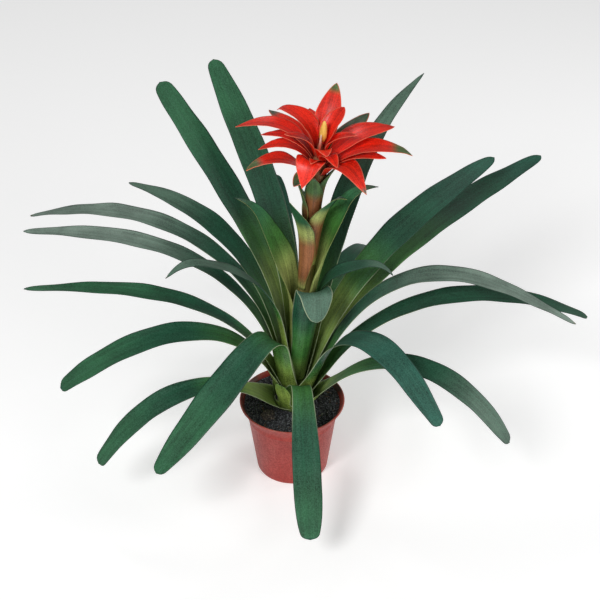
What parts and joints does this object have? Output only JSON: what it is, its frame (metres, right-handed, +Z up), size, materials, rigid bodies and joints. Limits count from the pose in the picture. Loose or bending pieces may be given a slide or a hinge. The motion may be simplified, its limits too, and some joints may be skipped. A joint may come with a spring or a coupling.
{
  "type": "potted bromeliad",
  "caption": "Bromeliad with arching strap leaves, a leafy flower spike and a star-shaped red flower head, planted in a round plastic nursery pot.",
  "frame": {"origin": "centre of the flat underside of the pot, on the surface it stands on", "axes": "+Z up along the pot's axis; +X to the right and -Y to the front, the side the folded front leaf hangs over"},
  "size_m": [0.6316, 0.4249, 0.4718],
  "materials": {
    "pot_plastic": "satin",
    "potting_soil": "matte",
    "leaf": "satin",
    "spike_leaf": "satin",
    "flower_bract": "satin",
    "flower_bud": "satin",
    "stem_green": "satin"
  },
  "bodies": {
    "root": {"bract_01_left_outer": "flower_bract", "bract_02_back_right_outer": "flower_bract", "bract_03_front_left": "flower_bract", "bract_04_front_right": "flower_bract", "bract_05_back": "flower_bract", "bract_06_left_low": "flower_bract", "bract_07_right": "flower_bract", "bract_08_back_left": "flower_bract", "bract_09_left": "flower_bract", "bract_10_right_upper": "flower_bract", "bract_11_front_small": "flower_bract", "bract_12_left_long": "flower_bract", "bract_13_top": "flower_bract", "bract_14_left_small": "flower_bract", "bract_15_right_inner": "flower_bract", "bract_16_curled": "flower_bract", "bract_17_top_right": "flower_bract", "bract_18_front_inner": "flower_bract", "bract_19_left_inner": "flower_bract", "bract_20_right_low": "flower_bract", "bract_21_left_mid": "flower_bract", "flower_bud": "flower_bud", "flower_bud_small": "flower_bud", "leaf_01_left_low": "leaf", "leaf_02_right_low": "leaf", "leaf_03_back_low": "leaf", "leaf_04_front": "leaf", "leaf_05_left_broad": "leaf", "leaf_06_back_right_low": "leaf", "leaf_07_right_arching": "leaf", "leaf_08_right_front": "leaf", "leaf_09_left_slender": "leaf", "leaf_10_right_behind": "leaf", "leaf_11_front_left": "leaf", "leaf_12_left_mid": "leaf", "leaf_13_right_long": "leaf", "leaf_14_back": "leaf", "leaf_15_left_upper": "leaf", "leaf_16_right_broad": "leaf", "leaf_17_left_arching": "leaf", "leaf_18_curled_small": "leaf", "leaf_19_back_right": "leaf", "leaf_20_back_left": "leaf", "leaf_21_back_tall": "leaf", "leaf_22_right_short": "leaf", "leaf_23_front_folded": "leaf", "leaf_24_basal_front": "leaf", "pot": "pot_plastic", "soil": "potting_soil", "spike_bract_back": "spike_leaf", "spike_bract_left": "spike_leaf", "spike_bract_right": "spike_leaf", "spike_bract_upper_front": "spike_leaf", "spike_bract_upper_left": "spike_leaf", "spike_bract_upper_right": "spike_leaf", "spike_leaf_left": "spike_leaf", "spike_leaf_right": "spike_leaf", "stem": "stem_green"}
  },
  "joints": []
}
